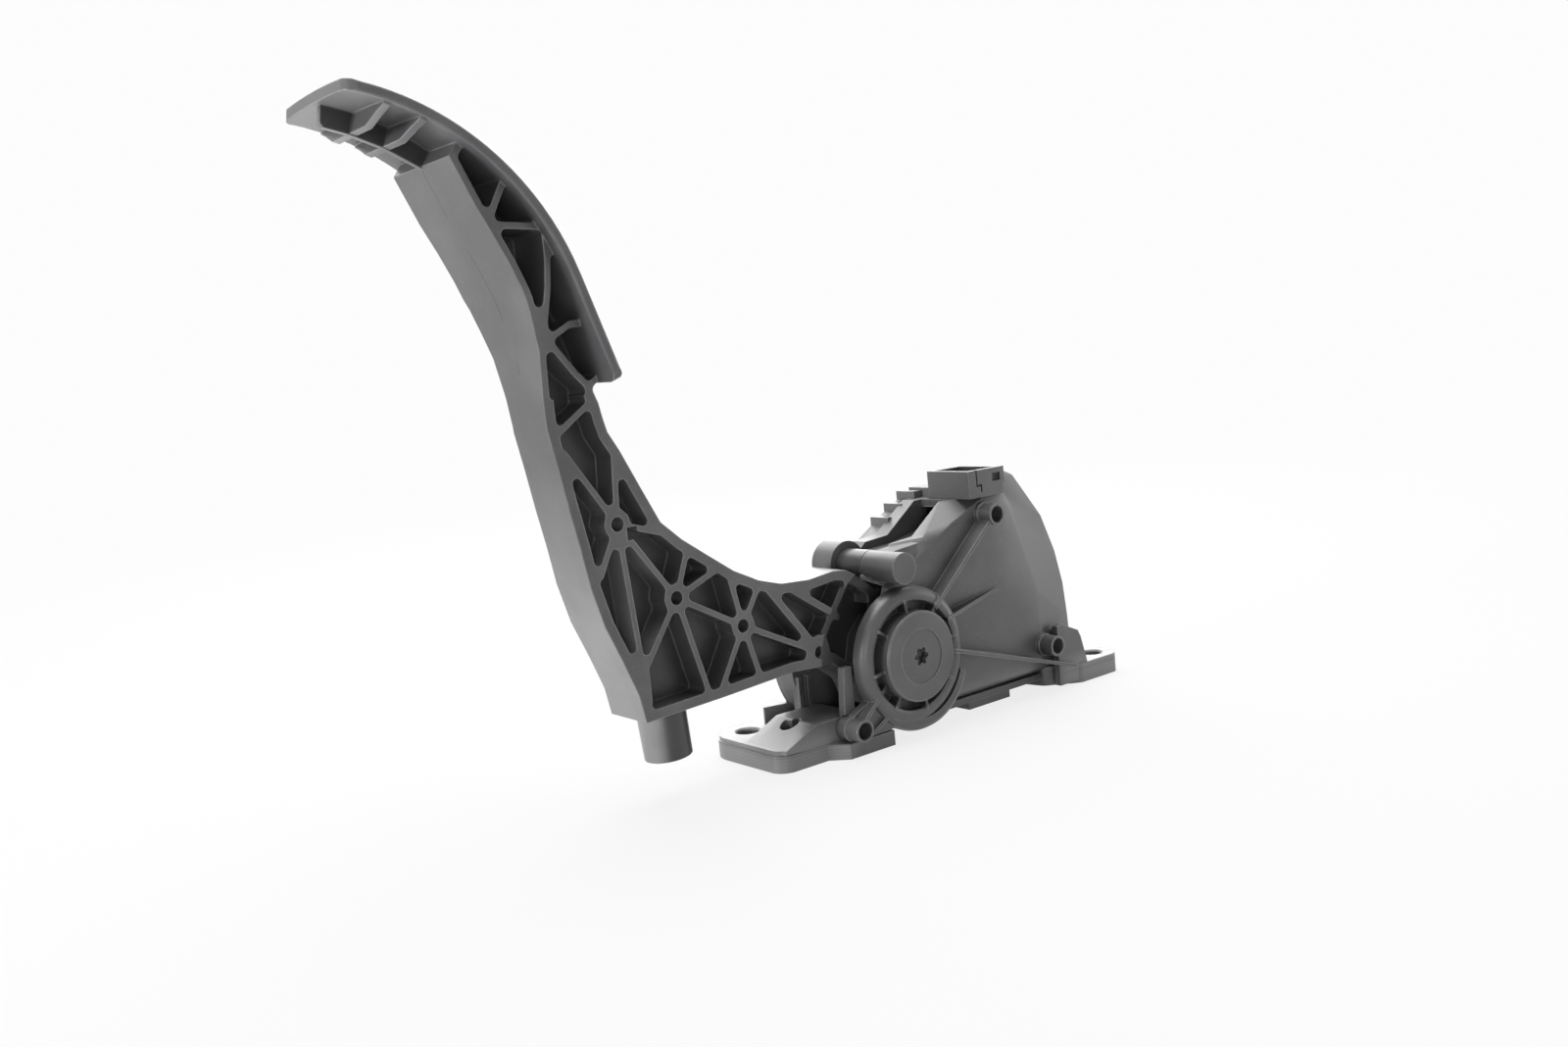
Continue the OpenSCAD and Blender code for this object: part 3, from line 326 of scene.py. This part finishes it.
# Witness line of the mould, in three lengths down the middle of the back strip
on_line = within(tree, place["Y"], centre=pivot.y, reach=0.00016)
backward = ramp(tree, facing["X"], start=-0.3, end=-0.6)
lengths = []
for low, high in ((0.157, 0.1684), (0.1317, 0.1496), (0.1183, 0.1215)):
    lengths.append(within(tree, place["Z"], centre=(low + high) / 2, reach=(high - low) / 2))
witness = all_of(tree, any_of(tree, *lengths), on_line, backward)
colour = blend(tree, witness, colour, grey(0.3), "MULTIPLY")

# Painted light from the bright floor, in patches, low on the back strip above the heel
low_down = ramp(tree, place["Z"], start=0.095, end=0.052)
outside = ramp(tree, place["X"], start=-0.043, end=-0.046)
patches = noise(tree, spot(tree), scale=90, detail=4)
patchy = ramp(tree, patches, start=0.3, end=0.6, low=0.7)
strip_floor_light = all_of(tree, backward, low_down, outside, patchy)

# Painted light from the floor under the pad's tip
downward = ramp(tree, facing["Z"], start=-0.6, end=-0.9)
at_tip = ramp(tree, place["X"], start=-0.099, end=-0.112)
painted_floor_light = any_of(tree, strip_floor_light, all_of(tree, downward, at_tip))
# The back strip and the pad's tip take the painted light from the floor
repaint(tree, blend(tree, painted_floor_light, colour, grey(0.14)))
dress("pedal_arm", arm_plastic)

# Lid of the sensor, moulded in a finer plastic with sharper corners.
# Its clips snap over the housing's upper edge.
lid_black = (0.054, 0.054, 0.056)
dress("sensor_cover", moulding("lid plastic", lid_black, roughness=0.4, grain=0.4, radius=0.0003))

# Connector block with its socket, a duller moulding that stands on the housing.
# The car's plug snaps into it from above.
block_black = (0.05, 0.05, 0.052)
connector_plastic = moulding("connector plastic", block_black, roughness=0.45, grain=0.3, radius=0.0003)
dress("connector_housing", connector_plastic)

# Friction lever, moulded in a slippery plastic that is nearly black.
# It hangs on the lever's pin in the open channel.
lever_black = (0.022, 0.022, 0.023)
dress("friction_lever", moulding("lever plastic", lever_black, roughness=0.35, grain=0.3, radius=0.0003))

# Pivot shaft, lever's pin, thrust washers and retaining ring, all of steel.
# They are turned, ground or drawn, so fine lines run round them.
turned, given, results = shared_effect("turned steel", {"Vector": "Vector", "Steel": "Color"})
drawn_out = vector_math(turned, "MULTIPLY", given["Vector"], (0.1, 2, 0.1))
lines = noise(turned, drawn_out, scale=900, detail=3)
stain = noise(turned, given["Vector"], scale=160)
tarnished = blend(turned, stain, given["Steel"], (0.72, 0.7, 0.68, 1), "MULTIPLY")
scratches = add(turned, "Bump", {"Strength": 0.2, "Distance": 0.00002, "Height": lines})
feed(turned, results["Color"], tarnished)
feed(turned, results["Roughness"], ramp(turned, lines, start=0, end=1, low=0.24, high=0.46))
feed(turned, results["Normal"], scratches.outputs["Normal"])


def steel(name, colour):
    """Drawn or turned metal"""
    return finish_from(turned, name, {"Steel": (*colour, 1)}, {"Metallic": 1})


bright = steel("ground steel", (0.62, 0.63, 0.65))
for name in ("pivot_shaft", "lever_pin", "thrust_washers"):
    dress(name, bright)
wire = steel("spring wire", (0.42, 0.43, 0.45))
dress("retaining_ring", wire)

# Two return springs, wound one way and the other from round wire with closed ends.
# They stand on the arm's tail and shorten against the friction lever when it rises.
for name in ("outer_spring", "inner_spring"):
    coil = bpy.data.objects.new(name + "_wire", nodes[name].data.copy())
    bpy.context.scene.collection.objects.link(coil)
    coil.data.materials.clear()
    coil.data.materials.append(wire)
    coil.data.polygons.foreach_set("use_smooth", [True] * len(coil.data.polygons))
    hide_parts(name)
    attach(coil, "housing")
    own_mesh(coil)

# Three screws of blackened steel, driven deep into the cover's tubes.
# They hold the side cover to the housing.
dress("cover_screws", steel("blackened steel", (0.09, 0.09, 0.095)))

# Far bush and sensor rotor, moulded in natural, slightly waxy plastics.
# The bush sits in the housing, and the rotor on the shaft's far end.
bush_white = (0.7, 0.67, 0.6)
dress("far_bearing", moulding("bush plastic", bush_white, roughness=0.38, grain=0.2, radius=0.0002))
rotor_white = (0.62, 0.59, 0.52)
dress("sensor_rotor", moulding("rotor plastic", rotor_white, roughness=0.4, grain=0.2, radius=0.0002))

# Friction lining, a pressed brown compound.
# It is bonded to the lever and rubs on the hub's drum.
lining_brown = (0.2, 0.15, 0.11)
dress("friction_lining", moulding("friction lining", lining_brown, roughness=0.8, grain=1, radius=0.0001))

# Stop under the arm's tail and seal round the sensor's room, both of moulded rubber.
# The stop lies on the housing's floor, and the seal in the joint under the lid.
soot_black = (0.02, 0.02, 0.02)
rubber = moulding("moulded rubber", soot_black, roughness=0.7, grain=0.8, radius=0.0004)
dress("idle_stop", rubber)
dress("sensor_seal", rubber)

# Ring magnet, pressed and sintered, and dark grey.
# It sits in the rotor and turns in front of the chips.
magnet_grey = (0.12, 0.12, 0.13)
dress("rotor_magnet", moulding("sintered magnet", magnet_grey, roughness=0.5, grain=0.6, radius=0.0002))

# Circuit board under green lacquer, with its black chips.
# It lies behind the lid, and the chips are soldered on.
board_green = (0.03, 0.14, 0.06)
dress("circuit_board", moulding("board lacquer", board_green, roughness=0.25, grain=0.15, radius=0.0001))
dress("sensor_chips", moulding("chip package", soot_black, roughness=0.45, grain=0.3, radius=0.0001))

# Contact strips, stamped from sheet metal and plated.
# They stand in the socket and run down to the board.
dress("connector_pins", steel("plated contacts", (0.78, 0.62, 0.32)))

# Floor of the white studio. Seen by the camera or in a reflection it mostly glows in an even
# white, and the rest of it takes the object's shadow.
floor_mesh = bmesh.new()
bmesh.ops.create_grid(floor_mesh, x_segments=1, y_segments=1, size=6)
floor_data = bpy.data.meshes.new("studio_floor")
floor_mesh.to_mesh(floor_data)
floor_mesh.free()
floor = bpy.data.objects.new("studio_floor", floor_data)
bpy.context.scene.collection.objects.link(floor)


def seen(tree):
    """Mask of the rays that come from the camera or from a glossy surface"""
    path = add(tree, "LightPath").outputs
    return any_of(tree, path["Is Camera Ray"], path["Is Glossy Ray"])


def mixed(tree, mask, first, second, output):
    """Feeds an output with the first shader, and by the mask with the second"""
    mix = add(tree, "MixShader", {"Fac": mask, 1: first, 2: second})
    tree.links.new(mix.outputs["Shader"], tree.nodes[output].inputs["Surface"])


near_share = 0.9
near_strength = 0.915
studio_white = grey(0.98)
floor_paint = bpy.data.materials.new("studio floor")
floor_paint.use_nodes = True
tree = floor_paint.node_tree
paint = tree.nodes["Principled BSDF"]
paint.inputs["Base Color"].default_value = grey(0.85)
paint.inputs["Roughness"].default_value = 0.9
distance = vector_math(tree, "LENGTH", spot(tree))
share = ramp(tree, distance, start=0.2, end=0.9, low=near_share)
strength = ramp(tree, share, start=near_share, end=1, low=near_strength)
glow = add(tree, "Emission", {"Color": studio_white, "Strength": strength})
glowing = all_of(tree, seen(tree), share)
mixed(tree, glowing, paint.outputs["BSDF"], glow.outputs["Emission"], "Material Output")
floor_data.materials.append(floor_paint)

# Walls of the studio, which light the object dimly.
# The camera and glossy surfaces see them in the same white as the floor.
world = bpy.data.worlds.new("studio")
world.use_nodes = True
bpy.context.scene.world = world
tree = world.node_tree
room = tree.nodes["Background"]
room.inputs["Color"].default_value = grey(1)
room.inputs["Strength"].default_value = 0.25
white = add(tree, "Background", {"Color": studio_white, "Strength": 1})
mixed(tree, seen(tree), room.outputs["Background"], white.outputs["Background"], "World Output")

# Lamps of the studio: soft boxes overhead and behind, and small ones near the floor.
# Each row gives a lamp's name, place and size in metres, and its power in watts.
aim_point = Vector((0.0, 0.0, 0.07))
for name, lamp_place, size, power in (
    ("overhead", (0.1, 0.1, 1.4), 1.2, 28),
    ("behind", (0.6, 0.85, 0.6), 1.5, 26),
    ("left", (-1.1, 0.12, 0.16), 0.3, 12),
    ("front", (-0.6, -0.9, 0.14), 0.25, 2.5),
    ("right", (1.0, -0.45, 0.1), 0.25, 1.6),
):
    lamp_data = bpy.data.lights.new(name, "AREA")
    lamp_data.size = size
    lamp_data.energy = power
    lamp = bpy.data.objects.new(name, lamp_data)
    lamp.location = lamp_place
    lamp.rotation_euler = (aim_point - Vector(lamp_place)).to_track_quat("-Z", "Y").to_euler()
    bpy.context.scene.collection.objects.link(lamp)

# Camera at the photograph's viewpoint.
# Its angles and its focal length were solved from the object's straight edges.
turn = math.radians(-38.2)
lift = math.radians(6.87)
roll = math.radians(-5.4)
focal_px = 1417
image_width_px = 1600
sensor_mm = 36
back = Vector((math.sin(turn) * math.cos(lift), -math.cos(turn) * math.cos(lift), math.sin(lift)))
level = Vector((math.cos(turn), math.sin(turn), 0))
above = back.cross(level)
right = math.cos(roll) * level + math.sin(roll) * above
up = -math.sin(roll) * level + math.cos(roll) * above
camera_data = bpy.data.cameras.new("camera")
camera_data.sensor_width = sensor_mm
camera_data.lens = sensor_mm * focal_px / image_width_px
camera_data.clip_start = 0.01
camera = bpy.data.objects.new("camera", camera_data)
stand = Matrix((right, up, back)).transposed().to_4x4()
stand.translation = Vector((-0.23911, -0.33101, 0.11708))
camera.matrix_world = stand
bpy.context.scene.collection.objects.link(camera)
bpy.context.scene.camera = camera
bpy.context.scene.view_settings.view_transform = "Standard"
